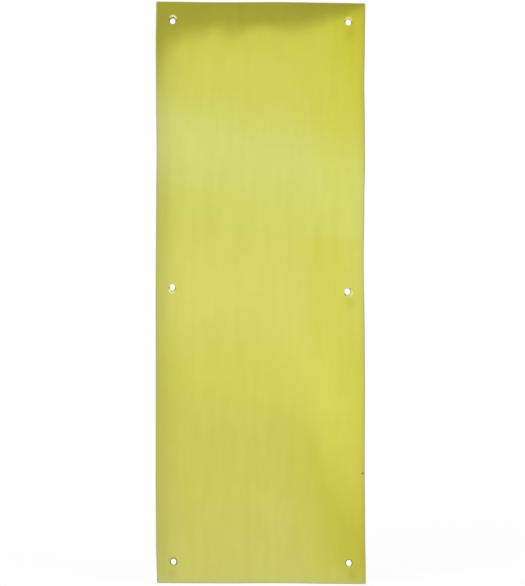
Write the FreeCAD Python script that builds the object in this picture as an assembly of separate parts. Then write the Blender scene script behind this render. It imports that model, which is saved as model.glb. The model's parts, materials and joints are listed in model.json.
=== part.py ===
"""Door finger plate: one piece of flat brass sheet with six countersunk screw holes.

The plate is modelled upright, as it is fitted on a door. Its back lies in the plane
y = 0, its front faces -Y, +Z runs up the door, and the origin is the middle of the back.
The sheet was cut slightly out of square and drilled by hand: both ends and both rows of
corner holes fall from left to right, and the two middle holes are not level.
All sizes are in millimetres and degrees.
"""

import math
import os

import FreeCAD
import Part

# The sheet
PLATE_HEIGHT = 305.0  # length of each long edge
PLATE_WIDTH = 109.5  # between the long edges
PLATE_THICKNESS = 1.5
END_FALL = 0.8  # how far an end drops from the left edge to the right edge

# Its edges
FRONT_EDGE_RADIUS = 0.5  # rounding of the front edge, worn by polishing
FACE_CORNER_RADIUS = 0.2  # corners of the flat front, inside that rounding
BACK_EDGE_BREAK = 0.1  # the sharp back edge taken off

# The screw holes
HOLE_DIAMETER = 3.2
COUNTERSINK_DEPTH = 0.8
COUNTERSINK_ANGLE = 90.0
SIDE_INSET = 8.75  # long edge to hole centre
TOP_INSET = 10.2  # top end to the upper hole centres
BOTTOM_INSET = 11.1  # bottom end to the lower hole centres
MIDDLE_LEFT_RISE = 2.1  # above the point halfway between the left corner holes
MIDDLE_RIGHT_RISE = 0.6  # above the point halfway between the right corner holes

CUTTER_OVERRUN = 1.0  # how far a cutting tool runs past the faces that it cuts
SAME_PLACE = 1e-6

FRONT = -PLATE_THICKNESS
BACK = 0.0


def sheet_point(x, z):
    """A point of the back face, dropped by the fall that the cut has at this x."""
    return FreeCAD.Vector(x, BACK, z - END_FALL * x / PLATE_WIDTH)


def edges_at(solid, y):
    """The edges that lie wholly in the plane at this y."""
    return [
        edge
        for edge in solid.Edges
        if all(abs(vertex.Y - y) < SAME_PLACE for vertex in edge.Vertexes)
    ]


def through_edges(solid):
    """The straight edges that run from the front to the back."""
    return [
        edge
        for edge in solid.Edges
        if abs(edge.Vertexes[0].Y - edge.Vertexes[-1].Y) > SAME_PLACE
    ]


def make_sheet():
    """The sheet with its corners and edges rounded, before drilling."""
    half_width = PLATE_WIDTH / 2
    half_height = PLATE_HEIGHT / 2
    corners = [
        sheet_point(-half_width, -half_height),
        sheet_point(half_width, -half_height),
        sheet_point(half_width, half_height),
        sheet_point(-half_width, half_height),
    ]
    outline = Part.makePolygon(corners + corners[:1])
    sheet = Part.Face(outline).extrude(FreeCAD.Vector(0, FRONT - BACK, 0))
    sheet = sheet.makeFillet(FACE_CORNER_RADIUS + FRONT_EDGE_RADIUS, through_edges(sheet))
    sheet = sheet.makeFillet(FRONT_EDGE_RADIUS, edges_at(sheet, FRONT))
    return sheet.makeFillet(BACK_EDGE_BREAK, edges_at(sheet, BACK))


def hole_centres():
    """Centres of the six screw holes on the back face, the left column and then the right."""
    top = PLATE_HEIGHT / 2 - TOP_INSET
    bottom = BOTTOM_INSET - PLATE_HEIGHT / 2
    middle = (top + bottom) / 2
    right = PLATE_WIDTH / 2 - SIDE_INSET
    columns = ((-right, MIDDLE_LEFT_RISE), (right, MIDDLE_RIGHT_RISE))
    return [
        sheet_point(x, z)
        for x, rise in columns
        for z in (top, middle + rise, bottom)
    ]


def hole_cutter(centre):
    """The space of one countersunk hole, run past both faces of the sheet."""
    radius = HOLE_DIAMETER / 2
    flare = math.tan(math.radians(COUNTERSINK_ANGLE / 2))
    mouth = FRONT - CUTTER_OVERRUN
    throat = FRONT + COUNTERSINK_DEPTH
    end = BACK + CUTTER_OVERRUN
    profile = [
        (0, mouth),
        (radius + (throat - mouth) * flare, mouth),
        (radius, throat),
        (radius, end),
        (0, end),
    ]
    points = [centre + FreeCAD.Vector(r, y, 0) for r, y in profile]
    section = Part.Face(Part.makePolygon(points + points[:1]))
    return section.revolve(centre, FreeCAD.Vector(0, 1, 0), 360)


def make_finger_plate():
    """The drilled plate as one solid."""
    drilled = make_sheet().cut([hole_cutter(centre) for centre in hole_centres()])
    return drilled.Solids[0]


os.makedirs("parts", exist_ok=True)
make_finger_plate().exportStep("parts/finger_plate.step")
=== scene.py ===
"""Door finger plate in worn sheet brass, on a pale studio floor.

The plate is one sheet: cut slightly out of square, drilled and countersunk by hand, and
polished until its edges went soft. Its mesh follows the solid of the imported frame, in
metres, with the back in the plane y = 0 and the front facing -Y.
"""

import json
import math
from typing import NamedTuple

import bmesh
import bpy
from bpy.props import FloatProperty, FloatVectorProperty, IntProperty, PointerProperty
from mathutils import Matrix, Vector, noise


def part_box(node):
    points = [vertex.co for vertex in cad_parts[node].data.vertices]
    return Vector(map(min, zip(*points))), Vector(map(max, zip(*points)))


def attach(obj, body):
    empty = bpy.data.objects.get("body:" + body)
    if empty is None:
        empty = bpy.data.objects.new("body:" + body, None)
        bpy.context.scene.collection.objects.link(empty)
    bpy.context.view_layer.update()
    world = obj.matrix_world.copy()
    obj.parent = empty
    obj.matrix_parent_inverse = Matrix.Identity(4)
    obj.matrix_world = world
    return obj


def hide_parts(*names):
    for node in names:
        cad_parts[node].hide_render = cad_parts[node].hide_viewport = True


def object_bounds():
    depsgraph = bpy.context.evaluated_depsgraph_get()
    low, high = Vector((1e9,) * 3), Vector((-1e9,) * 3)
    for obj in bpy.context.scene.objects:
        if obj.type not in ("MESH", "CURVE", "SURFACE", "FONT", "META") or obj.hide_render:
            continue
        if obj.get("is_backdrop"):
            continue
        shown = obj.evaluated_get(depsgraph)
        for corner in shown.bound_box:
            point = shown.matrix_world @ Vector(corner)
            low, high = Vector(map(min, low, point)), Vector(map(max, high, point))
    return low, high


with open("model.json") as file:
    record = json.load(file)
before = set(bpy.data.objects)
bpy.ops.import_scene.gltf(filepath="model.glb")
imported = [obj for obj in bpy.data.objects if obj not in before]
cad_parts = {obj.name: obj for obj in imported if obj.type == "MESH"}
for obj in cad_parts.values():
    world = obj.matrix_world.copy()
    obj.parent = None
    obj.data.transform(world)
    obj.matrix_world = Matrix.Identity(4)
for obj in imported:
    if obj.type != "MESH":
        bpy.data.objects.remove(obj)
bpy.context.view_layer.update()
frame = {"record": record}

bl_info = {
    "name": "Finger Plate",
    "version": (1, 0, 0),
    "blender": (4, 5, 0),
    "location": "3D View > Sidebar > Finger Plate",
    "description": "Builds a worn brass door finger plate and a studio stage for it",
    "category": "Object",
}

MM = 0.001
PLATE_LOW, PLATE_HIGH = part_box("finger_plate")
MOUNTS = {mount["name"]: mount for mount in frame["record"]["mounts"]}
CORNER_SCREWS = MOUNTS["corner_screws"]
MIDDLE_SCREWS = (MOUNTS["middle_left_screw"], MOUNTS["middle_right_screw"])
END_FALL = 0.8 * MM

# The plate's long edge and the whole image, both in pixels of the photograph
PLATE_PIXELS = 581.2
IMAGE_PIXELS = 586

# Material slots of the plate's mesh
FRONT, CUT_EDGE, HOLE_WALL, BACK = range(4)


def length(name, description, default):
    """A property for a size in metres."""
    return FloatProperty(
        name=name, description=description, default=default, unit="LENGTH", precision=5
    )


def colour(name, description, default):
    """A property for a colour in linear light."""
    return FloatVectorProperty(
        name=name, description=description, default=default, subtype="COLOR", min=0, max=1
    )


def factor(name, description, default):
    """A property for a share between 0 and 1."""
    return FloatProperty(
        name=name, description=description, default=default, subtype="FACTOR", min=0, max=1
    )


class FingerPlateSheet(bpy.types.PropertyGroup):
    """Sizes of the brass sheet"""

    width: length("Width", "Between the long edges", PLATE_HIGH.x - PLATE_LOW.x)
    height: length("Height", "Length of each long edge", PLATE_HIGH.z - PLATE_LOW.z - END_FALL)
    thickness: length("Thickness", "Front to back", PLATE_HIGH.y - PLATE_LOW.y)
    end_fall: length("End fall", "Drop of each end from left to right", END_FALL)
    corner_radius: length("Corner radius", "Rounding of the outline's corners", 0.7 * MM)
    front_radius: length("Front edge radius", "Rounding of the front edge", 0.5 * MM)
    back_break: length("Back edge break", "Rounding of the back edge", 0.1 * MM)
    wave_height: length("Wave height", "How far the sheet wanders from flat", 0.08 * MM)
    wave_length: length("Wave length", "Distance over which it wanders", 75 * MM)
    left_roll: length("Left roll", "How far polishing has taken the left side down", 0.03 * MM)
    left_reach: length("Left roll reach", "Width of that soft left side", 7 * MM)
    edge_roll: length("Edge roll", "How far polishing has taken the other sides down", 0.02 * MM)
    edge_reach: length("Edge roll reach", "Width of those soft sides", 2.5 * MM)
    pitch: length("Mesh pitch", "Distance between mesh lines on the open sheet", 2 * MM)


class FingerPlateHoles(bpy.types.PropertyGroup):
    """Sizes of the screw holes and of the small dent"""

    radius: length("Radius", "Radius of a screw hole", CORNER_SCREWS["dims"]["hole_r_mm"] * MM)
    sink_depth: length("Countersink depth", "From the front to the straight wall", 0.8 * MM)
    sink_angle: FloatProperty(
        name="Countersink angle",
        description="Full angle of the countersink",
        default=math.radians(90),
        subtype="ANGLE",
    )
    rim_radius: length("Rim radius", "Rounding of a countersink's rim", 0.12 * MM)
    patch: length("Patch", "Half the side of the mesh square round a hole", 6 * MM)
    patch_cells: IntProperty(
        name="Patch cells", description="Mesh cells along that square's side", default=12, min=4
    )
    dent_x: length("Dent across", "Place of the dent beside the right edge", 53.7 * MM)
    dent_z: length("Dent height", "Place of the dent up the plate", -94.8 * MM)
    dent_radius: length("Dent radius", "Radius of the dent", 0.6 * MM)
    dent_depth: length("Dent depth", "Depth of the dent", 0.22 * MM)


class FingerPlateFinish(bpy.types.PropertyGroup):
    """Colours and polish of the brass"""

    pale: colour("Pale brass", "Brass where a little haze lies", (0.655, 0.659, 0.1185))
    rich: colour("Rich brass", "Brass where it is polished clean", (0.624, 0.619, 0.0976))
    # This tone is painted as a highlight on one side of each countersink
    bright: colour("Bright brass", "Fresh-cut brass of the countersinks", (0.84, 0.83, 0.33))
    # Also the colour of the painted shade along the right edge
    tarnish: colour("Tarnish", "Thin brown film on the brass", (0.477, 0.403, 0.059))
    # Its darker tone along the rounded edge is part dirt and part painted shade
    edge: colour("Dull edge", "Brass along the outline's rounded edge", (0.36, 0.37, 0.22))
    # This colour also paints the shade at the throats of the holes
    soil_and_shade: colour("Soil and shade", "Old polish and dirt in the holes and the dent", (0.17, 0.15, 0.05))
    back: colour("Back", "Dull brass that no polish reaches", (0.47, 0.42, 0.115))
    brown: colour("Back tarnish", "Old brown tarnish on the back", (0.27, 0.205, 0.06))
    polish: factor("Front roughness", "Roughness of the polished front", 0.11)
    cut: factor("Edge roughness", "Roughness of the cut edges", 0.32)
    dull: factor("Back roughness", "Roughness of the back", 0.42)


class FingerPlateStage(bpy.types.PropertyGroup):
    """Floor, light and camera"""

    floor_reach: length("Floor reach", "Half the side of the floor", 6.0)
    floor_tone: colour("Floor", "Colour of the floor", (0.88, 0.88, 0.87))
    hood: colour("Hood", "Dark hood that the plate's top mirrors", (0.566, 0.532, 0.3725))
    camera_distance: length("Camera distance", "From the plate's front to the camera", 1.2)
    aim_x: length("Aim across", "Camera's place to the right of the plate's middle", 1.1 * MM)
    aim_z: length("Aim height", "Camera's place above the plate's middle", -0.13 * MM)
    sensor: length("Sensor", "Long side of the camera's sensor", 36 * MM)


class FingerPlateSettings(bpy.types.PropertyGroup):
    """All settings of the plate and its stage"""

    sheet: PointerProperty(type=FingerPlateSheet)
    holes: PointerProperty(type=FingerPlateHoles)
    finish: PointerProperty(type=FingerPlateFinish)
    stage: PointerProperty(type=FingerPlateStage)


# Lines and rings that the mesh is built on


def rounded_line(corners, steps):
    """The line through (a, b, radius) corners, with an arc of that radius at each inner one."""
    line = [Vector(corners[0][:2])]
    for before, corner, after in zip(corners, corners[1:], corners[2:]):
        here = Vector(corner[:2])
        back = (Vector(before[:2]) - here).normalized()
        on = (Vector(after[:2]) - here).normalized()
        half = back.angle(on) / 2
        start = here + back * corner[2] / math.tan(half)
        centre = here + (back + on).normalized() * corner[2] / math.sin(half)
        spoke = start - centre
        sweep = math.pi - 2 * half
        if back.cross(on) > 0:
            sweep = -sweep
        for step in range(steps + 1):
            line.append(centre + Matrix.Rotation(sweep * step / steps, 2) @ spoke)
    line.append(Vector(corners[-1][:2]))
    return line


def mesh_lines(stops):
    """Positions from stop to stop, where each (position, pitch) gives the pitch up to the next."""
    lines = [stops[0][0]]
    for (start, pitch), (end, _) in zip(stops, stops[1:]):
        count = max(1, round((end - start) / pitch))
        lines += [start + (end - start) * (i + 1) / count for i in range(count)]
    return lines


def line_index(lines, position):
    """The line nearest to this position."""
    return min(range(len(lines)), key=lambda i: abs(lines[i] - position))


def screw_centres(sheet):
    """(x, z) of the six screw holes, from the mounts: four corners, then the two in the middle."""
    dims = CORNER_SCREWS["dims"]
    middle = Vector(CORNER_SCREWS["pos_m"])
    centres = []
    for side in (-1, 1):
        for end in (-1, 1):
            x = middle.x + side * dims["spacing_x_mm"] * MM / 2
            z = middle.z + end * dims["spacing_y_mm"] * MM / 2
            centres.append(Vector((x, z - sheet.end_fall * x / sheet.width)))
    return centres + [Vector((m["pos_m"][0], m["pos_m"][2])) for m in MIDDLE_SCREWS]


# How far each cut edge wanders from straight: (place along it, shift), in millimetres
LEFT_WANDER = (
    (-152, 0.42), (-131, -0.05), (-100, -0.25), (-50, -0.2), (0, -0.25), (48, 0.0), (74, 0.25),
    (100, -0.05), (131, -0.25), (152, 0.0),
)
RIGHT_WANDER = (
    (-152, 0.6), (-120, 0.25), (-90, 0.05), (-50, 0.2), (-25, 0.05), (17, -0.5), (48, -0.2),
    (70, 0.2), (90, 0.1), (111, -0.2), (132, 0.15), (152, 0.35),
)
LOW_WANDER = ((-54, -0.27), (-24, -0.22), (10, 0.13), (39, -0.07), (54, -0.1))
HIGH_WANDER = ((-54, 0.05), (-24, -0.08), (10, 0.25), (39, 0.05), (54, -0.1))


def eased(value, low, high):
    """0 below low, 1 above high, and smooth between them."""
    share = max(0, min(1, (value - low) / (high - low)))
    return share * share * (3 - 2 * share)


def along(table, place):
    """The value that a table of (place, value) pairs has at a place, smooth between the pairs."""
    for (near, here), (far, there) in zip(table, table[1:]):
        if place <= far:
            return here + (there - here) * eased(place, near, far)
    return table[-1][1]


def towards(angle, direction, spread):
    """1 where an angle points in this direction in degrees, and less the more it turns away."""
    return (0.5 + 0.5 * math.cos(angle - math.radians(direction))) ** spread


# How far round a countersink its painted highlight and the painted shade at its throat reach,
# and where between the throat and the mouth they lie
HIGHLIGHT_SPREAD = 4
HIGHLIGHT_FLARE = (0.1, 0.5)
THROAT_SHADE_SPREAD = 1.5
THROAT_SHADE_FLARE = (0.2, 0.55)


class HoleCut(NamedTuple):
    """How one hole was cut by hand, with painted highlight and shade. Lengths in millimetres,
    directions in degrees.
    """

    drift: tuple  # of the hole from its mount
    sink: tuple  # of the countersink from the hole
    size: tuple  # width and height, as shares of the true size
    bright: tuple  # direction and strength of the countersink's painted highlight
    throat_shade: tuple  # direction and strength of the painted shade at the throat
    soil_and_shade: float  # soil on the rest of the countersink

    def masks(self, angle, flare):
        """The painted highlight, and the soil with the throat's painted shade, at this angle and
        flare of the countersink.
        """
        bright = min(1, self.bright[1] * towards(angle, self.bright[0], HIGHLIGHT_SPREAD))
        bright *= eased(flare, *HIGHLIGHT_FLARE)
        throat_shade = self.throat_shade[1] * towards(angle, self.throat_shade[0], THROAT_SHADE_SPREAD)
        throat_shade *= 1 - eased(flare, *THROAT_SHADE_FLARE)
        return bright, max(self.soil_and_shade * (1 - bright), throat_shade)


# In the order of screw_centres
HOLE_CUTS = (
    HoleCut((0.19, 0.09), (-0.02, 0.02), (0.90, 1.01), (80, 0.0), (65, 1.8), 0.10),
    HoleCut((0.03, -0.08), (0.08, 0.85), (0.90, 1.00), (75, 1.5), (95, 1.0), 0.60),
    HoleCut((-0.04, -0.15), (0.00, 0.05), (0.87, 1.07), (0, 0.1), (180, 0.25), 0.03),
    HoleCut((-0.09, 0.00), (0.06, 0.55), (0.91, 0.96), (80, 0.7), (90, 0.25), 0.28),
    HoleCut((0.05, 0.03), (-0.05, -0.80), (0.85, 1.06), (255, 1.8), (10, 0.8), 0.08),
    HoleCut((0.06, -0.10), (0.40, -0.40), (0.955, 1.06), (325, 1.7), (20, 0.6), 0.16),
)

# Thin tarnish below some of the holes: (hole, across, down) in millimetres
STAINS = ((0, -0.5, 6.0), (2, 1.8, 5.5), (3, 1.2, 5.2), (5, 1.4, 6.0))
STAIN_WIDTH = 3.0 * MM
STAIN_HEIGHT = 4.2 * MM
STAIN_STRENGTH = 0.35

# Thin tarnish along the whole outline, and a narrow line of painted shade along the right edge
EDGE_FILM = 5 * MM
EDGE_FILM_STRENGTH = 0.1
SIDE_SHADE_LINE = 1.4 * MM
SIDE_SHADE_STRENGTH = 0.25

# The sheet's waviness: where its two noises are cut, and how the finer one differs
BROAD_SLICE, FINE_SLICE = 3.1, 8.7
FINE_ACROSS, FINE_UP, FINE_SHARE = 2.3, 1.7, 0.25


class SheetForm:
    """Where the sheet's surface lies. Places are (u, w): across, and up before the ends' fall."""

    def __init__(self, sheet, holes):
        self.sheet = sheet
        self.holes = holes
        self.centres = screw_centres(sheet)
        self.dent = Vector((holes.dent_x, holes.dent_z))

    def drop(self, u):
        """How far the out-of-square cut has fallen at this u."""
        return self.sheet.end_fall * u / self.sheet.width

    def wander(self, u, w):
        """How far the hand-cut outline pulls this place from where a straight cut has it."""
        across = u / self.sheet.width + 0.5
        up = w / self.sheet.height + 0.5
        left, right = (along(table, w / MM) for table in (LEFT_WANDER, RIGHT_WANDER))
        low, high = (along(table, u / MM) for table in (LOW_WANDER, HIGH_WANDER))
        return (left + (right - left) * across) * MM, (low + (high - low) * up) * MM

    def wave(self, x, z):
        """Slow bow of the whole sheet."""
        scale = 1 / self.sheet.wave_length
        broad = noise.noise(Vector((x * scale, BROAD_SLICE, z * scale)))
        fine = noise.noise(Vector((x * scale * FINE_ACROSS, FINE_SLICE, z * scale * FINE_UP)))
        return self.sheet.wave_height * (broad + FINE_SHARE * fine)

    def dent_share(self, x, z):
        """How far a place is from the dent's middle, in radii."""
        return (Vector((x, z)) - self.dent).length / self.holes.dent_radius

    def worn(self, u, w, x, z):
        """How far wear has taken the front below the flat."""
        sheet = self.sheet
        left = max(0, 1 - (u + sheet.width / 2) / sheet.left_reach)
        right = max(0, 1 - (sheet.width / 2 - u) / sheet.edge_reach)
        ends = max(0, 1 - (sheet.height / 2 - abs(w)) / sheet.edge_reach)
        dent = max(0, 1 - self.dent_share(x, z) ** 2) ** 2
        roll = sheet.left_roll * left * left + sheet.edge_roll * (right * right + ends * ends)
        return roll + self.holes.dent_depth * dent

    def point(self, u, w, depth):
        """The vertex place at (u, w), this far behind the front."""
        shift_u, shift_w = self.wander(u, w)
        x, z = u + shift_u, w - self.drop(u) + shift_w
        front_share = 1 - depth / self.sheet.thickness
        y = depth - self.sheet.thickness + self.worn(u, w, x, z) * front_share
        return Vector((x, y + self.wave(x, z), z))

    def film(self, u, w):
        """How much thin tarnish lies at a place, below the holes and along the outline, plus
        painted shade along the right edge.
        """
        place = Vector((u, w - self.drop(u)))
        film = 0
        for hole, across, down in STAINS:
            off = place - self.centres[hole] - Vector((across, -down)) * MM
            film += math.exp(-((off.x / STAIN_WIDTH) ** 2) - (off.y / STAIN_HEIGHT) ** 2)
        gap = min(self.sheet.width / 2 - abs(u), self.sheet.height / 2 - abs(w))
        near = max(0, 1 - gap / EDGE_FILM)
        # A line of painted shade along the right edge
        line = max(0, 1 - (self.sheet.width / 2 - u) / SIDE_SHADE_LINE)
        return STAIN_STRENGTH * film + EDGE_FILM_STRENGTH * near * near + SIDE_SHADE_STRENGTH * line

    def outline(self, across, up, inset, steps):
        """Places round the sheet at this inset, a side at a time with an arc after each side."""
        sheet = self.sheet
        half_width, half_height = sheet.width / 2, sheet.height / 2
        far_u, far_w = half_width - inset, half_height - inset
        sides = (
            [(u, -far_w) for u in across],
            [(far_u, w) for w in up],
            [(u, far_w) for u in reversed(across)],
            [(-far_u, w) for w in reversed(up)],
        )
        turns = ((1, -1), (1, 1), (-1, 1), (-1, -1))
        radius = sheet.corner_radius - inset
        places = []
        for quarter, (side, (to_right, to_top)) in enumerate(zip(sides, turns)):
            places += side
            for step in range(steps + 1):
                angle = math.radians(90) * (quarter - 1 + step / steps)
                u = to_right * (half_width - sheet.corner_radius) + radius * math.cos(angle)
                w = to_top * (half_height - sheet.corner_radius) + radius * math.sin(angle)
                places.append((u, w))
        return places


# The plate's mesh

CORNER_STEPS = 6
EDGE_STEPS = 6
RIM_STEPS = 4
EDGE_SUPPORT = 0.25 * MM  # from the rounded edge to the first mesh line on the flat
EDGE_DARK_FADE = 0.8 * MM  # how far in from the outline the dull edge's dirt and painted shade fade
SIDE_PITCH = 0.7 * MM
DENT_PITCH = 0.13 * MM
DENT_MARGIN = 1.6 * MM
DENT_SOIL_REACH = 1.1875  # in radii of the dent, as is the next
DENT_SOIL_FADE = 0.625
RIM_FLAT = 4  # width of the flat ring round a countersink, in rim radii
RING_PITCH = 0.2 * MM
FIRST_SPOKE = math.radians(-135)  # from a hole to the lower left corner of its square
SAME_PLACE = 1e-7


def sheet_lines(form):
    """The mesh lines across and up the sheet, dense at the holes, the soft edges and the dent."""
    sheet, holes = form.sheet, form.holes
    inset = sheet.front_radius + EDGE_SUPPORT
    side, end = sheet.width / 2 - inset, sheet.height / 2 - inset
    cell = 2 * holes.patch / holes.patch_cells
    column = max(centre.x for centre in form.centres)
    rows = [centre.y + form.drop(centre.x) for centre in form.centres]
    low, high = min(rows), max(rows)
    middle = (rows[-1] + rows[-2]) / 2
    dent_w = holes.dent_z + form.drop(holes.dent_x)
    patch = holes.patch
    across = mesh_lines([
        (-side, SIDE_PITCH),
        (-column - patch, cell),
        (-column + patch, sheet.pitch),
        (column - patch, cell),
        (column + patch, SIDE_PITCH),
        (holes.dent_x - DENT_MARGIN, DENT_PITCH),
        (side, None),
    ])
    up = mesh_lines([
        (-end, SIDE_PITCH),
        (low - patch, cell),
        (low + patch, sheet.pitch),
        (dent_w - DENT_MARGIN, DENT_PITCH),
        (dent_w + DENT_MARGIN, sheet.pitch),
        (middle - patch, cell),
        (middle + patch, sheet.pitch),
        (high - patch, cell),
        (high + patch, SIDE_PITCH),
        (end, None),
    ])
    squares = []
    for centre, row in zip(form.centres, rows):
        row = middle if low < row - patch and row + patch < high else row
        squares.append((line_index(across, centre.x - patch), line_index(up, row - patch)))
    return across, up, squares


def divided(line, pitch):
    """The line with points added, so that no two are further apart than the pitch."""
    points = line[:1]
    for near, far in zip(line, line[1:]):
        count = max(1, math.ceil((far - near).length / pitch))
        points += [near.lerp(far, (i + 1) / count) for i in range(count)]
    return points


def square_rim(grid, i, j, cells):
    """The grid's vertices round a hole's square, from its lower left corner."""
    bottom = [grid[i + k][j] for k in range(cells)]
    right = [grid[i + cells][j + k] for k in range(cells)]
    top = [grid[i + cells - k][j + cells] for k in range(cells)]
    left = [grid[i][j + cells - k] for k in range(cells)]
    return bottom + right + top + left


class PlateMesh:
    """Builds the whole plate as one closed mesh, with its soil, film, edges and painted light kept
    as masks.
    """

    def __init__(self, sheet, holes):
        self.form = SheetForm(sheet, holes)
        self.bm = bmesh.new()
        # Masks: soil with painted shade at the hole throats, film with painted shade along the
        # right edge, the dull edge's dirt and painted shade, and the countersinks' painted
        # highlight
        self.soil_and_shade = self.bm.verts.layers.float.new("soil_and_shade")
        self.film = self.bm.verts.layers.float.new("film")
        self.edge = self.bm.verts.layers.float.new("edge")
        self.bright = self.bm.verts.layers.float.new("bright")

    def vertex(self, u, w, depth, soil_and_shade=0.0, edge=0.0, bright=0.0):
        """A vertex at (u, w), this far behind the front."""
        made = self.bm.verts.new(self.form.point(u, w, depth))
        if depth < SAME_PLACE:
            dent = self.form.dent_share(made.co.x, made.co.z)
            soil_and_shade = max(soil_and_shade, min(1, (DENT_SOIL_REACH - dent) / DENT_SOIL_FADE))
        made[self.soil_and_shade] = soil_and_shade
        made[self.film] = self.form.film(u, w)
        made[self.edge] = edge
        made[self.bright] = bright
        return made

    def face(self, vertices, material):
        """A face of one of the plate's materials."""
        self.bm.faces.new(vertices).material_index = material

    def bridge(self, near, far, material):
        """Faces between two closed rings of as many vertices."""
        for k in range(len(near)):
            self.face((near[k - 1], near[k], far[k], far[k - 1]), material)

    def fill(self, grid, rim, squares, material):
        """The flat face inside a rim, open at the squares round the holes."""
        cells = self.form.holes.patch_cells
        for i in range(len(grid) - 1):
            for j in range(len(grid[0]) - 1):
                if any(a <= i < a + cells and b <= j < b + cells for a, b in squares):
                    continue
                corners = (grid[i][j], grid[i + 1][j], grid[i + 1][j + 1], grid[i][j + 1])
                self.face(corners, material)
        sides = (
            [column[0] for column in grid],
            grid[-1],
            [column[-1] for column in reversed(grid)],
            grid[0][::-1],
        )
        closed = rim + rim[:1]
        start = 0
        for side in sides:
            for k in range(len(side) - 1):
                corners = (rim[start + k], rim[start + k + 1], side[k + 1], side[k])
                self.face(corners, material)
            start += len(side)
            self.face((*closed[start - 1 : start + CORNER_STEPS + 2], side[-1]), material)
            start += CORNER_STEPS + 1

    def hole(self, centre, cut, front_rim, back_rim):
        """One countersunk hole between its squares in the front and back faces."""
        sheet, holes = self.form.sheet, self.form.holes
        sink = holes.sink_depth * math.tan(holes.sink_angle / 2)
        mouth = holes.radius + sink
        corners = [
            (mouth + RIM_FLAT * holes.rim_radius, 0, 0),
            (mouth, 0, holes.rim_radius),
            (holes.radius, holes.sink_depth, holes.rim_radius),
            (holes.radius, sheet.thickness, holes.rim_radius / 2),
            (mouth, sheet.thickness, 0),
        ]
        profile = divided(rounded_line(corners, RIM_STEPS), RING_PITCH)
        middle = centre + Vector(cut.drift) * MM
        count = len(front_rim)
        near = front_rim
        for radius, depth in profile:
            flare = min(1, (radius - holes.radius) / sink) if depth < holes.sink_depth else 0
            wall = SAME_PLACE < depth < sheet.thickness - SAME_PLACE
            ring = []
            hub = middle + Vector(cut.sink) * MM * flare
            for k in range(count):
                angle = FIRST_SPOKE + math.tau * k / count
                spoke = Vector((math.cos(angle) * cut.size[0], math.sin(angle) * cut.size[1]))
                place = hub + radius * spoke
                # Painted highlight on one side of the countersink, painted shade at its throat, and
                # soil
                bright, soil_and_shade = cut.masks(angle, flare)
                w = place.y + self.form.drop(place.x)
                ring.append(self.vertex(place.x, w, depth, soil_and_shade if wall else 0, bright=bright))
            flat = FRONT if depth < SAME_PLACE else BACK
            self.bridge(near, ring, HOLE_WALL if wall else flat)
            near = ring
        self.bridge(near, back_rim, BACK)

    def build(self):
        """The finished mesh."""
        form = self.form
        sheet, cells = form.sheet, form.holes.patch_cells
        across, up, squares = sheet_lines(form)
        front, back = (
            [[self.vertex(u, w, depth) for w in up] for u in across]
            for depth in (0, sheet.thickness)
        )
        corners = [
            (sheet.front_radius * 2, 0, 0),
            (0, 0, sheet.front_radius),
            (0, sheet.thickness, sheet.back_break),
            (sheet.back_break * 2, sheet.thickness, 0),
        ]
        rings = []
        for inset, depth in rounded_line(corners, EDGE_STEPS)[1:-1]:
            places = form.outline(across, up, inset, CORNER_STEPS)
            # Dirt and painted shade of the dull edge, strongest at the outline
            worn = 1.0 - eased(inset, 0, EDGE_DARK_FADE)
            rings.append([self.vertex(u, w, depth, edge=worn) for u, w in places])
        for index, (near, far) in enumerate(zip(rings, rings[1:])):
            self.bridge(near, far, FRONT if index < EDGE_STEPS else CUT_EDGE)
        self.fill(front, rings[0], squares, FRONT)
        self.fill(back, rings[-1], squares, BACK)
        for centre, cut, (i, j) in zip(form.centres, HOLE_CUTS, squares):
            rims = (square_rim(grid, i, j, cells) for grid in (front, back))
            self.hole(centre, cut, *rims)
        loose = [vertex for vertex in self.bm.verts if not vertex.link_faces]
        bmesh.ops.delete(self.bm, geom=loose, context="VERTS")
        bmesh.ops.recalc_face_normals(self.bm, faces=self.bm.faces)
        mesh = bpy.data.meshes.new("brass_plate")
        self.bm.to_mesh(mesh)
        self.bm.free()
        mesh.shade_smooth()
        return mesh


# Shader nodes


def add_node(tree, kind, inputs=None, **settings):
    """A node with its settings and inputs set. An input that is a socket is linked."""
    node = tree.nodes.new(kind)
    for name, value in settings.items():
        setattr(node, name, value)
    for name, value in (inputs or {}).items():
        socket = node.inputs[name]
        if isinstance(value, bpy.types.NodeSocket):
            tree.links.new(value, socket)
        else:
            socket.default_value = value
    return node


def opaque(rgb):
    """A colour with full alpha."""
    return (*rgb, 1.0)


def calculate(tree, operation, first, second):
    """The result of a math operation on two values."""
    return add_node(tree, "ShaderNodeMath", {0: first, 1: second}, operation=operation).outputs[0]


def added(tree, value, extra, share):
    """A value plus a share of another."""
    inputs = {0: extra, 1: share, 2: value}
    return add_node(tree, "ShaderNodeMath", inputs, operation="MULTIPLY_ADD").outputs[0]


def blend(tree, share, first, second):
    """A mix of a colour, which may be a socket, and a plain one."""
    first = first if isinstance(first, bpy.types.NodeSocket) else opaque(first)
    inputs = {0: share, 6: first, 7: opaque(second)}
    return add_node(tree, "ShaderNodeMix", inputs, data_type="RGBA").outputs[2]


def ease(tree, value, low, high, to_low=0.0, to_high=1.0):
    """The value eased from the range low to high onto another range."""
    inputs = {"Value": value, "From Min": low, "From Max": high}
    inputs |= {"To Min": to_low, "To Max": to_high}
    node = add_node(tree, "ShaderNodeMapRange", inputs, interpolation_type="SMOOTHSTEP")
    return node.outputs[0]


def stretched(tree, vector, scale, turn=0.0):
    """Coordinates turned about Y and then scaled along each axis."""
    inputs = {"Vector": vector, "Angle": turn}
    turned = add_node(tree, "ShaderNodeVectorRotate", inputs, rotation_type="Y_AXIS").outputs[0]
    node = add_node(tree, "ShaderNodeVectorMath", {0: turned, 1: scale}, operation="MULTIPLY")
    return node.outputs[0]


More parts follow.
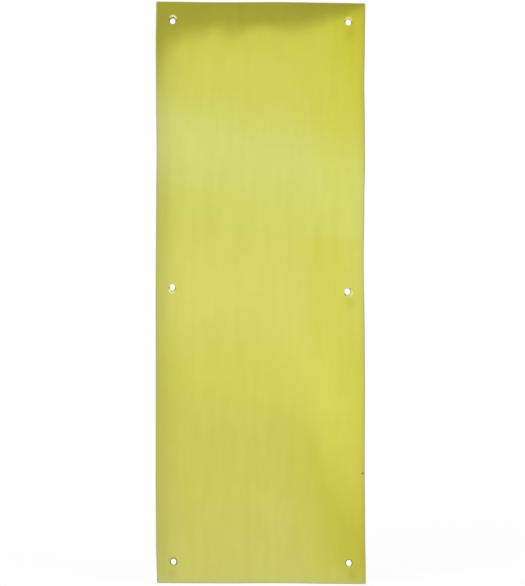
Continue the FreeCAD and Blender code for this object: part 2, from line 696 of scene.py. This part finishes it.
def noise_value(tree, vector, scale, detail, roughness=0.5):
    """Noise about 0.5 at these coordinates."""
    inputs = {"Vector": vector, "Scale": scale, "Detail": detail, "Roughness": roughness}
    return add_node(tree, "ShaderNodeTexNoise", inputs).outputs[0]


def new_group(name, inputs, outputs):
    """A node group that takes a vector and these values, its input sockets and its output node."""
    group = bpy.data.node_groups.new(name, "ShaderNodeTree")
    sockets = group.interface
    sockets.new_socket("Vector", in_out="INPUT", socket_type="NodeSocketVector")
    for label, default in inputs.items():
        socket = sockets.new_socket(label, in_out="INPUT", socket_type="NodeSocketFloat")
        socket.default_value = default
    for label in outputs:
        sockets.new_socket(label, in_out="OUTPUT", socket_type="NodeSocketFloat")
    return group, add_node(group, "NodeGroupInput").outputs, add_node(group, "NodeGroupOutput")


# Noise of the effects along each axis: a stretch of the lines, or a count a metre
GRAIN_STRETCH = (1, 1, 0.02)
STREAKS = (210, 210, 34)
SCRATCHES = (2600, 2600, 35)
SCRATCH_TURNS = (0.15, -0.5, 1.1)
SCRATCH_LEVEL, SCRATCH_DROP, SCRATCH_SOFTNESS = 0.8, -0.3, 0.05
SOIL_GRAIN = 900


def polishing_grain():
    """Fine lines that polishing leaves up the sheet, and the broad streaks between them."""
    outputs = ["Height", "Streaks"]
    group, given, result = new_group("Polishing grain", {"Lines": 1500.0}, outputs)
    fine = stretched(group, given["Vector"], GRAIN_STRETCH)
    broad = stretched(group, given["Vector"], STREAKS)
    lines = noise_value(group, fine, given["Lines"], detail=3)
    streaks = noise_value(group, broad, 1, detail=3, roughness=0.6)
    group.links.new(lines, result.inputs["Height"])
    group.links.new(streaks, result.inputs["Streaks"])
    return group


def tarnish_clouds():
    """Soft patches of tarnish or haze."""
    inputs = {"Scale": 30.0, "Coverage": 0.5, "Softness": 0.15}
    group, given, result = new_group("Tarnish clouds", inputs, ["Mask"])
    value = noise_value(group, given["Vector"], given["Scale"], detail=5, roughness=0.55)
    middle = calculate(group, "SUBTRACT", 1.0, given["Coverage"])
    low = calculate(group, "SUBTRACT", middle, given["Softness"])
    high = calculate(group, "ADD", middle, given["Softness"])
    group.links.new(ease(group, value, low, high), result.inputs["Mask"])
    return group


def hairline_scratches():
    """Thin short scratches that lie in a few directions."""
    group, given, result = new_group("Hairline scratches", {"Amount": 0.3}, ["Mask"])
    low = added(group, SCRATCH_LEVEL, given["Amount"], SCRATCH_DROP)
    high = calculate(group, "ADD", low, SCRATCH_SOFTNESS)
    mask = 0.0
    for turn in SCRATCH_TURNS:
        lines = stretched(group, given["Vector"], SCRATCHES, turn)
        value = noise_value(group, lines, 1, detail=1)
        mask = calculate(group, "MAXIMUM", mask, ease(group, value, low, high))
    group.links.new(mask, result.inputs["Mask"])
    return group


def settled_soil_and_shade():
    """Soil and painted shade from a mesh mask, broken up so that its border is uneven."""
    inputs = {"Soil and shade": 0.0, "Break-up": 0.5}
    group, given, result = new_group("Settled soil and shade", inputs, ["Mask"])
    value = noise_value(group, given["Vector"], SOIL_GRAIN, detail=4, roughness=0.6)
    shift = calculate(group, "SUBTRACT", value, 0.5)
    uneven = added(group, 1.0, shift, given["Break-up"])
    spread = calculate(group, "MULTIPLY", uneven, given["Soil and shade"])
    group.links.new(ease(group, spread, low=0.02, high=1.0), result.inputs["Mask"])
    return group


def new_material(name):
    """A material, and its nodes."""
    material = bpy.data.materials.new(name)
    material.use_nodes = True
    return material, material.node_tree


class BrassEffects:
    """The node groups that the brass materials share."""

    def __init__(self):
        self.grain = polishing_grain()
        self.clouds = tarnish_clouds()
        self.scratches = hairline_scratches()
        self.soil_and_shade = settled_soil_and_shade()


class BrassMaterial:
    """A metal material in the making, in the plate's own coordinates."""

    def __init__(self, name, effects):
        self.material, self.tree = new_material(name)
        self.effects = effects
        self.vector = add_node(self.tree, "ShaderNodeTexCoord").outputs["Object"]

    def mask(self, name):
        """A mask that the mesh keeps."""
        return add_node(self.tree, "ShaderNodeAttribute", attribute_name=name).outputs["Fac"]

    def effect(self, group, inputs, vector=None):
        """The outputs of a placed node group."""
        inputs = {"Vector": vector or self.vector, **inputs}
        return add_node(self.tree, "ShaderNodeGroup", inputs, node_tree=group).outputs

    def grain(self, lines, vector=None):
        """Polishing grain at this many lines a metre."""
        return self.effect(self.effects.grain, {"Lines": lines}, vector)

    def clouds(self, scale, coverage, softness):
        """A mask of soft patches."""
        inputs = {"Scale": scale, "Coverage": coverage, "Softness": softness}
        return self.effect(self.effects.clouds, inputs)["Mask"]

    def scratches(self, amount):
        """A mask of hairline scratches."""
        return self.effect(self.effects.scratches, {"Amount": amount})["Mask"]

    def soil_and_shade(self, break_up):
        """The mask of settled soil, and of painted shade at the hole throats."""
        inputs = {"Soil and shade": self.mask("soil_and_shade"), "Break-up": break_up}
        return self.effect(self.effects.soil_and_shade, inputs)["Mask"]

    def finish(self, base, roughness, height, relief):
        """Links the colour, roughness and relief to the shader, and gives the material."""
        inputs = {"Strength": 1.0, "Distance": relief, "Height": height}
        bump = add_node(self.tree, "ShaderNodeBump", inputs)
        shader = self.tree.nodes["Principled BSDF"].inputs
        shader["Metallic"].default_value = 1.0
        self.tree.links.new(base, shader["Base Color"])
        self.tree.links.new(roughness, shader["Roughness"])
        self.tree.links.new(bump.outputs["Normal"], shader["Normal"])
        return self.material


def polished_front(finish, effects):
    """Polished brass: pale and warm patches with streaks, thin tarnish with painted shade along the
    right edge, soil, and dull edges of dirt and painted shade.
    """
    brass = BrassMaterial("polished_front", effects)
    tree = brass.tree
    grain = brass.grain(lines=1500)
    haze = brass.clouds(scale=11, coverage=0.5, softness=0.3)
    mottle = brass.clouds(scale=70, coverage=0.42, softness=0.2)
    scratches = brass.scratches(amount=0.25)
    soil_and_shade = brass.soil_and_shade(break_up=0.5)

    warm = added(tree, grain["Streaks"], haze, share=0.25)
    warm = added(tree, warm, grain["Height"], share=0.25)
    warm = ease(tree, warm, low=0.3, high=1.2)
    base = blend(tree, warm, finish.pale, finish.rich)
    # The film mask: tarnish, with painted shade along the right edge
    film = added(tree, brass.mask("film"), mottle, share=0.05)
    film = added(tree, film, scratches, share=0.12)
    base = blend(tree, film, base, finish.tarnish)
    # The dull edge: dirt and painted shade
    base = blend(tree, brass.mask("edge"), base, finish.edge)
    base = blend(tree, soil_and_shade, base, finish.soil_and_shade)

    rough = ease(tree, haze, 0, 1, finish.polish * 0.9, finish.polish * 1.2)
    rough = added(tree, rough, mottle, share=0.02)
    rough = added(tree, rough, soil_and_shade, share=0.35)
    rough = added(tree, rough, brass.mask("edge"), share=0.15)
    height = added(tree, grain["Height"], scratches, share=-0.6)
    return brass.finish(base, rough, height, relief=0.003 * MM)


def cut_edge(finish, effects):
    """The sheared and filed side of the sheet, with file marks across its thickness."""
    brass = BrassMaterial("cut_edge", effects)
    tree = brass.tree
    marks = brass.grain(lines=2500, vector=stretched(tree, brass.vector, (1, 0.05, 1)))
    clouds = brass.clouds(scale=55, coverage=0.55, softness=0.25)
    film = ease(tree, clouds, 0, 1, to_low=0.2, to_high=0.7)
    base = blend(tree, film, finish.rich, finish.edge)
    rough = ease(tree, clouds, 0, 1, finish.cut * 0.8, finish.cut * 1.3)
    return brass.finish(base, rough, marks["Height"], relief=0.01 * MM)


def hole_wall(finish, effects):
    """The countersink and the bore: a painted highlight on one side, and soil with painted shade at
    the throat.
    """
    brass = BrassMaterial("hole_wall", effects)
    tree = brass.tree
    marks = brass.grain(lines=3500, vector=stretched(tree, brass.vector, (1, 3, 1)))
    soil_and_shade = brass.soil_and_shade(break_up=0.9)
    # Painted highlight first, then soil and the throat's painted shade
    base = blend(tree, brass.mask("bright"), finish.rich, finish.bright)
    base = blend(tree, soil_and_shade, base, finish.soil_and_shade)
    rough = ease(tree, soil_and_shade, 0, 1, to_low=finish.polish * 1.6, to_high=0.6)
    return brass.finish(base, rough, marks["Height"], relief=0.006 * MM)


def dull_back(finish, effects):
    """The back as it was rolled: dull brass in brown tarnish, darker along the edges."""
    brass = BrassMaterial("dull_back", effects)
    tree = brass.tree
    grain = brass.grain(lines=1100)
    broad = brass.clouds(scale=13, coverage=0.5, softness=0.3)
    patches = brass.clouds(scale=48, coverage=0.45, softness=0.3)
    specks = brass.clouds(scale=420, coverage=0.34, softness=0.06)
    scratches = brass.scratches(amount=0.35)

    film = added(tree, broad, patches, share=0.6)
    film = added(tree, film, grain["Streaks"], share=0.9)
    film = ease(tree, film, low=0.5, high=2.0)
    base = blend(tree, film, finish.back, finish.brown)
    dark = added(tree, 0.0, specks, share=0.22)
    # The film mask brings its painted shade along the right edge to the back as well
    dark = added(tree, dark, brass.mask("film"), share=1.2)
    base = blend(tree, dark, base, finish.soil_and_shade)
    shine = added(tree, 0.0, scratches, share=0.25)
    base = blend(tree, shine, base, finish.rich)

    rough = ease(tree, film, 0, 1, finish.dull * 0.8, finish.dull * 1.25)
    height = added(tree, grain["Height"], scratches, share=-0.5)
    return brass.finish(base, rough, height, relief=0.01 * MM)


# The stage

WHITE = (1.0, 1.0, 1.0, 1.0)
WORLD_FILL = 0.45  # strength of the surround's own light
FLOOR_ROUGHNESS = 0.9
FLOOR_GLOW = 0.9  # share of plain white in the floor beside the plate
GLOW_NEAR, GLOW_FAR = 0.5, 2.5  # metres over which that share rises to all


def seen_directly(tree):
    """1 for rays that come from the camera, or by a mirror or through glass, and 0 for others."""
    path = add_node(tree, "ShaderNodeLightPath").outputs
    mirrored = calculate(tree, "MAXIMUM", path["Is Glossy Ray"], path["Is Transmission Ray"])
    return calculate(tree, "MAXIMUM", path["Is Camera Ray"], mirrored)


def make_world(scene):
    """A white surround for what is seen, and a softer fill for the light that it gives."""
    world = bpy.data.worlds.new("studio")
    world.use_nodes = True
    tree = world.node_tree
    tree.nodes.clear()
    fill = add_node(tree, "ShaderNodeBackground", {"Color": WHITE, "Strength": WORLD_FILL})
    seen = add_node(tree, "ShaderNodeBackground", {"Color": WHITE, "Strength": 1.0})
    inputs = {0: seen_directly(tree), 1: fill.outputs[0], 2: seen.outputs[0]}
    mix = add_node(tree, "ShaderNodeMixShader", inputs)
    add_node(tree, "ShaderNodeOutputWorld", {"Surface": mix.outputs[0]})
    scene.world = world


def add_stage(name, mesh, material):
    """Puts a piece of the stage in the scene."""
    piece = bpy.data.objects.new(name, mesh)
    bpy.context.scene.collection.objects.link(piece)
    mesh.materials.append(material)
    piece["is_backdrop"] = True
    return piece


def make_floor(stage):
    """A pale floor that keeps the plate's shadow, and turns to plain white with distance."""
    material, tree = new_material("pale_floor")
    shader = tree.nodes["Principled BSDF"]
    shader.inputs["Base Color"].default_value = opaque(stage.floor_tone)
    shader.inputs["Roughness"].default_value = FLOOR_ROUGHNESS
    shader.inputs["Specular IOR Level"].default_value = 0.0
    vector = add_node(tree, "ShaderNodeTexCoord").outputs["Object"]
    away = add_node(tree, "ShaderNodeVectorMath", {0: vector}, operation="LENGTH").outputs["Value"]
    glow = ease(tree, away, GLOW_NEAR, GLOW_FAR, FLOOR_GLOW, 1.0)
    share = calculate(tree, "MULTIPLY", seen_directly(tree), glow)
    white = add_node(tree, "ShaderNodeEmission", {"Color": WHITE, "Strength": 1.0})
    inputs = {0: share, 1: shader.outputs[0], 2: white.outputs[0]}
    mix = add_node(tree, "ShaderNodeMixShader", inputs)
    tree.links.new(mix.outputs[0], tree.nodes["Material Output"].inputs["Surface"])
    reach, level = stage.floor_reach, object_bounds()[0].z
    turns = ((-1, -1), (1, -1), (1, 1), (-1, 1))
    corners = [(reach * x, reach * y, level) for x, y in turns]
    mesh = bpy.data.meshes.new("floor")
    mesh.from_pydata(corners, [], [(0, 1, 2, 3)])
    floor = add_stage("floor", mesh, material)
    floor.visible_glossy = False


def card_material():
    """A card that glows in the tones that its mesh keeps."""
    material, tree = new_material("light_card")
    tree.nodes.clear()
    tone = add_node(tree, "ShaderNodeAttribute", attribute_name="tone").outputs["Color"]
    glow = add_node(tree, "ShaderNodeEmission", {"Color": tone, "Strength": 1.0})
    add_node(tree, "ShaderNodeOutputMaterial", {"Surface": glow.outputs[0]})
    return material


def make_card(name, rows, gap, stage, sheet, material):
    """A card this far before the plate, that only the plate mirrors.

    The rows hold (x, z, tone), with x and z in millimetres where the camera sees that point
    of the card mirrored on the plate.
    """
    middle = Vector((stage.aim_x, stage.aim_z))
    spread = 1 + gap / stage.camera_distance
    bm = bmesh.new()
    tones = bm.verts.layers.float_color.new("tone")
    grid = []
    for row in rows:
        line = []
        for x, z, tone in row:
            place = middle + (Vector((x, z)) * MM - middle) * spread
            vertex = bm.verts.new((place.x, -sheet.thickness - gap, place.y))
            vertex[tones] = opaque(tone)
            line.append(vertex)
        grid.append(line)
    for near, far in zip(grid, grid[1:]):
        for k in range(1, len(near)):
            bm.faces.new((near[k - 1], near[k], far[k], far[k - 1]))
    mesh = bpy.data.meshes.new(name)
    bm.to_mesh(mesh)
    bm.free()
    card = add_stage(name, mesh, material)
    for kind in ("camera", "diffuse", "transmission", "volume_scatter", "shadow"):
        setattr(card, f"visible_{kind}", False)


class Shade(NamedTuple):
    """A soft shape on the light wall, where its tint multiplies the light.

    Each straight edge is given by the side that the shape is on, in degrees, and by its place
    and its softness, in millimetres.
    """

    tint: tuple
    edges: tuple


# The light wall that the plate mirrors: its distance in metres, its mesh lines as places and
# pitches in millimetres, and where it fades into even light across and up
WALL_GAP = 0.2
WALL_ACROSS = ((-160, 9), (-70, 3), (70, 9), (160, None))
WALL_UP = ((-240, 9), (-165, 3), (165, 9), (240, None))
WALL_FADE = ((75, 160), (160, 240))
EVEN = Vector((1, 1, 1))
STRIP_END = (90, -172, 10)  # lower edge of the pale strip at the foot
SHADES = (
    # Dim light below the hood
    Shade((0.861, 0.86, 0.47), ((90, 138.2, 33.2),)),
    # A pale window across the upper part, and its lower end at the right
    Shade((1.077, 1.16, 2.196), ((-98.3, -86.9, 18.8), (71.6, 43.7, 31.5), (180, -20, 162.3))),
    Shade((1.023, 1.022, 1.211), ((24, 42.5, 6.6), (214.2, -59.3, 13.7), (180, -42.8, 3.7))),
    # A second, fainter one across the middle
    Shade((1.075, 1.066, 1.371), ((90, -24.3, 29), (-90, -25.4, 30.1), (180, -22.1, 11.2))),
    # A warm patch beside it, and light, warm and dim places along the right
    Shade(
        (0.975, 0.959, 0.739),
        ((0, 26.1, 11.9), (180, -47.2, 12.2), (90, 15.2, 11), (-90, -30.7, 3.7)),
    ),
    Shade((1.059, 1.082, 1.428), ((0, 44.5, 25.6), (90, -25.2, 4.1), (-90, -63.5, 13.2))),
    Shade((1.007, 1.005, 0.821), ((0, 29.9, 15.7),)),
    Shade((0.959, 0.957, 0.674), ((0, 43.2, 8.9), (90, 96, 22.1))),
    # Dimmer light below, beside a beam that leans to the right
    Shade((0.962, 0.933, 1.02), ((-95.1, 59.6, 10.6), (206.1, -3.2, 17))),
    Shade(
        (1.091, 1.098, 1.253),
        ((18.1, 5.5, 5.3), (194.7, -27, 7.9), (-90, 17.2, 42.1), (90, -120.2, 4.5)),
    ),
    Shade((0.896, 0.881, 0.286), ((194.4, -30.8, 20.7), (25.7, -21.2, 18.7), (-90, 92.4, 50.9))),
    # The foot, its dark right corner, and the pale strip along it with both its ends
    Shade((0.989, 0.993, 1.188), ((-90, 104.8, 36.3), (180, -20.7, 10))),
    Shade((0.947, 0.945, 1.274), ((0, 29.8, 26.4), (-90, 97.5, 29.3))),
    Shade((0.928, 0.98, 1.437), ((-90, 152.2, 7), STRIP_END)),
    Shade((1.03, 1.06, 1.3), ((0, 44, 8), (-90, 147, 5), STRIP_END)),
    Shade((1.06, 1.08, 1.15), ((180, 44, 8), (-90, 145, 6), STRIP_END)),
    # The dark sides
    Shade((0.85, 0.845, 0.96), ((180, 47.8, 5.4),)),
    Shade((0.93, 0.93, 0.88), ((180, 49, 6), (90, -62, 12), (-90, -62, 12))),
    Shade((0.92, 0.925, 0.93), ((180, 46.5, 6), (90, 106, 10), (-90, -140, 10))),
    Shade((0.9, 0.87, 1.1), ((0, 55, 4.5),)),
)


def wall_tone(x, z):
    """The light wall's tone where the plate mirrors it at (x, z), in millimetres."""
    tone = EVEN
    for shade in SHADES:
        share = 1.0
        for side, place, softness in shade.edges:
            angle = math.radians(side)
            within = x * math.cos(angle) + z * math.sin(angle) - place
            share *= eased(within, -softness, softness)
        tone = tone * EVEN.lerp(Vector(shade.tint), share)
    far = max(eased(abs(place), *fade) for place, fade in zip((x, z), WALL_FADE))
    return tone.lerp(EVEN, far)


def wall_rows():
    """Rows of the light wall, from its foot up."""
    across, up = mesh_lines(WALL_ACROSS), mesh_lines(WALL_UP)
    for z in up:
        yield [(x, z, wall_tone(x, z)) for x in across]


# The dark hood above the plate: its distance in metres, its mesh, and (x, z, softness) along its
# lower border, in millimetres
HOOD_GAP = 0.1
HOOD_PITCH = 1.5
HOOD_STEPS = 8
HOOD_BORDER = (
    (-70, 140, 4), (-62, 112, 10), (-58, 108.5, 12), (-53, 127.5, 12), (-49, 132.2, 12),
    (-45, 131.4, 9), (-40, 135.6, 8), (-35, 137.1, 8.5), (-30, 136.7, 7.2), (-25, 139.6, 3.8),
    (-20, 139.5, 7), (-17, 135.9, 8), (-14, 137.2, 10), (-10, 138.3, 4.5), (-5, 139.2, 3.3),
    (0, 140.5, 2.8), (5, 139.6, 2.6), (10, 139.1, 4.5), (15, 138.6, 6.4), (20, 139.4, 6.2),
    (26, 141, 6), (32, 142.6, 6), (38, 144.2, 4), (44, 145.1, 1.6), (50, 147.9, 1.2),
    (56, 150.2, 1.4), (70, 151.5, 1.4),
)
# Rows above the border: its upper side, the rise from there, and how dark the hood is
HOOD_TOP = ((1, 28, 1.0), (1, 48, 0.0))
# Where the hood fades at both ends, and where and how far it is darker to the right
HOOD_ENDS = (57, 70)
HOOD_DEEP = (6, 30)
HOOD_DEEPER = 0.94


def hood_rows(stage):
    """Rows of the hood, from its soft lower border to its top. It ends in the wall's own tones."""
    across = mesh_lines([(HOOD_BORDER[0][0], HOOD_PITCH), (HOOD_BORDER[-1][0], None)])
    heights = [(x, z) for x, z, _ in HOOD_BORDER]
    softness = [(x, soft) for x, _, soft in HOOD_BORDER]
    steps = [step / HOOD_STEPS for step in range(HOOD_STEPS + 1)]
    border = [(2 * step - 1, 0, eased(step, 0, 1)) for step in steps]
    for level, rise, share in (*border, *HOOD_TOP):
        row = []
        for x in across:
            z = along(heights, x) + level * along(softness, x) + rise
            dark = share * (1 - eased(abs(x), *HOOD_ENDS))
            deep = 1 + (HOOD_DEEPER - 1) * eased(x, *HOOD_DEEP)
            row.append((x, z, wall_tone(x, z).lerp(Vector(stage.hood) * deep, dark)))
        yield row


# Soft lamps: name, place, side in metres, power in watts
LAMPS = (
    ("key_lamp", (-1.1, -1.5, 1.5), 1.4, 34.0),
    ("fill_lamp", (1.3, -1.1, 1.1), 1.2, 14.0),
    ("back_lamp", (0.2, 1.6, 1.4), 1.2, 12.0),
)


def aim(thing, target):
    """Turns a lamp or the camera to face a point."""
    thing.rotation_euler = (target - thing.location).to_track_quat("-Z", "Y").to_euler()


def make_lamps():
    """Large soft lamps that light the floor and cast the plate's shadow."""
    for name, place, side, power in LAMPS:
        data = bpy.data.lights.new(name, "AREA")
        data.size = side
        data.energy = power
        lamp = bpy.data.objects.new(name, data)
        lamp.location = place
        aim(lamp, Vector((0, 0, 0)))
        lamp.visible_glossy = False
        bpy.context.scene.collection.objects.link(lamp)


def make_camera(scene, stage, sheet):
    """The camera, square to the front, with the plate filling the image's height."""
    data = bpy.data.cameras.new("camera")
    data.sensor_width = stage.sensor / MM
    view_height = sheet.height * IMAGE_PIXELS / PLATE_PIXELS
    data.lens = data.sensor_width * stage.camera_distance / view_height
    camera = bpy.data.objects.new("camera", data)
    front = -sheet.thickness
    camera.location = (stage.aim_x, front - stage.camera_distance, stage.aim_z)
    aim(camera, Vector((stage.aim_x, front, stage.aim_z)))
    scene.collection.objects.link(camera)
    scene.camera = camera


class FINGER_PLATE_OT_build_plate(bpy.types.Operator):
    """Build the brass plate with its holes and finish"""

    bl_idname = "finger_plate.build_plate"
    bl_label = "Build Plate"

    def execute(self, context):
        settings = context.scene.finger_plate
        mesh = PlateMesh(settings.sheet, settings.holes).build()
        effects = BrassEffects()
        for make in (polished_front, cut_edge, hole_wall, dull_back):
            mesh.materials.append(make(settings.finish, effects))
        plate = bpy.data.objects.new("brass_plate", mesh)
        context.scene.collection.objects.link(plate)
        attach(plate, "root")
        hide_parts("finger_plate")
        return {"FINISHED"}


class FINGER_PLATE_OT_build_stage(bpy.types.Operator):
    """Build the floor, the light and the camera"""

    bl_idname = "finger_plate.build_stage"
    bl_label = "Build Stage"

    def execute(self, context):
        scene = context.scene
        stage, sheet = scene.finger_plate.stage, scene.finger_plate.sheet
        make_world(scene)
        make_floor(stage)
        material = card_material()
        make_card("hood", hood_rows(stage), HOOD_GAP, stage, sheet, material)
        make_card("light_wall", wall_rows(), WALL_GAP, stage, sheet, material)
        make_lamps()
        make_camera(scene, stage, sheet)
        scene.view_settings.view_transform = "Standard"
        return {"FINISHED"}


class FINGER_PLATE_PT_sidebar(bpy.types.Panel):
    """Settings of the finger plate and buttons that build it"""

    bl_label = "Finger Plate"
    bl_space_type = "VIEW_3D"
    bl_region_type = "UI"
    bl_category = "Finger Plate"

    def draw(self, context):
        settings = context.scene.finger_plate
        for title in ("Sheet", "Holes", "Finish", "Stage"):
            group = getattr(settings, title.lower())
            box = self.layout.box()
            box.label(text=title)
            for name in group.__annotations__:
                box.prop(group, name)
        self.layout.operator(FINGER_PLATE_OT_build_plate.bl_idname)
        self.layout.operator(FINGER_PLATE_OT_build_stage.bl_idname)


CLASSES = (
    FingerPlateSheet,
    FingerPlateHoles,
    FingerPlateFinish,
    FingerPlateStage,
    FingerPlateSettings,
    FINGER_PLATE_OT_build_plate,
    FINGER_PLATE_OT_build_stage,
    FINGER_PLATE_PT_sidebar,
)


def register():
    """Adds the classes and the scene's settings."""
    for each in CLASSES:
        bpy.utils.register_class(each)
    bpy.types.Scene.finger_plate = PointerProperty(type=FingerPlateSettings)


def unregister():
    """Takes the settings and the classes away again."""
    del bpy.types.Scene.finger_plate
    for each in reversed(CLASSES):
        bpy.utils.unregister_class(each)


def main():
    """Builds the plate and its stage."""
    register()
    bpy.ops.finger_plate.build_plate()
    bpy.ops.finger_plate.build_stage()
    bpy.context.view_layer.update()


if __name__ == "__main__":
    main()
